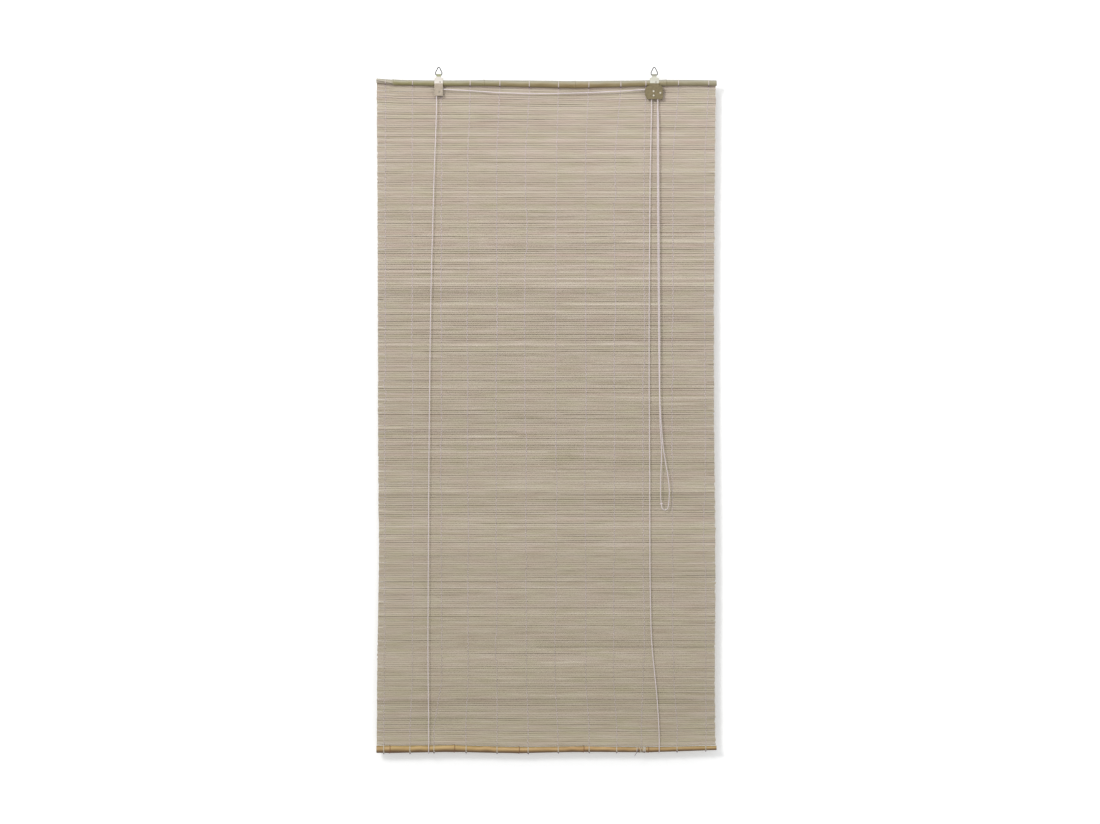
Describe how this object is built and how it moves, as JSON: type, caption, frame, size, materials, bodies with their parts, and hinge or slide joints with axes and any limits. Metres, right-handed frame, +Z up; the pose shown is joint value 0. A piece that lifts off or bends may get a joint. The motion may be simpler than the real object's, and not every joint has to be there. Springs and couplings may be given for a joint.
{
  "type": "bamboo roll up blind",
  "caption": "Hanging blind of thin bamboo reeds woven with thread between a bowed cane head rail and a cane bottom rail, raised by lift cords through a pulley and a cord lock.",
  "frame": {"origin": "midway between the two hang points, which are the inside of the wire rings' tops", "axes": "+X to the right as seen from the room, +Y to the wall, +Z up"},
  "size_m": [0.8009, 0.0251, 1.617],
  "materials": {
    "reed": "split bamboo reeds, bleached, matt with faint grain",
    "head_cane": "greenish bamboo cane, satin skin",
    "bottom_cane": "yellow-brown bamboo cane, satin skin",
    "thread": "white cotton thread",
    "cord": "white braided cord",
    "wire": "drawn steel wire",
    "plated_sheet": "pale plated sheet",
    "brass_sheet": "olive brass plated sheet",
    "rivet": "bright domed rivets",
    "wheel": "white nylon"
  },
  "bodies": {
    "hangers": {"left_hanger": "wire", "right_hanger": "wire"},
    "blind": {"head_rail": "head_cane", "head_ties": "thread", "reed_mat": "reed", "warp_threads": "thread", "left_bracket": "plated_sheet", "pulley_axle": "plated_sheet", "lock_housing": "brass_sheet", "roller_axle": "rivet", "lock_post": "rivet", "pawl_rivet": "rivet", "bracket_nails": "wire", "left_cord_front": "cord", "right_cord_front": "cord", "left_cord_back": "cord", "right_cord_back": "cord", "left_cord_knot": "cord", "right_cord_knot": "cord", "cross_cord": "cord", "right_cord_top": "cord", "pull_cord": "cord", "pull_cord_knot": "cord"},
    "cord_cradle": {"left_cord_cradle": "cord", "right_cord_cradle": "cord"},
    "bottom_roll": {"bottom_rail": "bottom_cane", "bottom_ties": "thread"},
    "pulley": {"left_pulley": "wheel"},
    "roller": {"lock_roller": "wheel"},
    "pawl": {"lock_pawl": "brass_sheet"}
  },
  "joints": [
    {"name": "blind_swing", "type": "hinge", "parent": "hangers", "child": "blind", "pos_m": [0, 0, -0.0175], "axis": [1, 0, 0], "range_deg": [-30, 0]},
    {"name": "roll_up", "type": "slide", "parent": "blind", "child": "cord_cradle", "axis": [0, 0, 1], "range_m": [0, 1.45], "deforming": ["reed_mat", "warp_threads", "left_cord_front", "right_cord_front", "left_cord_back", "right_cord_back"]},
    {"name": "rail_turn", "type": "hinge", "parent": "cord_cradle", "child": "bottom_roll", "pos_m": [0, 0, -1.604], "axis": [-1, 0, 0], "continuous": true},
    {"name": "pulley_spin", "type": "hinge", "parent": "blind", "child": "pulley", "pos_m": [-0.2523, -0.0095, -0.058], "axis": [0, 1, 0], "continuous": true},
    {"name": "roller_spin", "type": "hinge", "parent": "blind", "child": "roller", "pos_m": [0.2515, -0.0095, -0.0565], "axis": [0, 1, 0], "continuous": true},
    {"name": "pawl_swing", "type": "hinge", "parent": "blind", "child": "pawl", "pos_m": [0.2674, -0.0095, -0.0603], "axis": [0, 1, 0], "range_deg": [0, 40]}
  ],
  "couplings": [
    {"joint": "rail_turn", "follows": "roll_up", "rad_per_m": 52},
    {"joint": "pulley_spin", "follows": "roll_up", "rad_per_m": 322.6},
    {"joint": "roller_spin", "follows": "roll_up", "rad_per_m": 434.8}
  ]
}
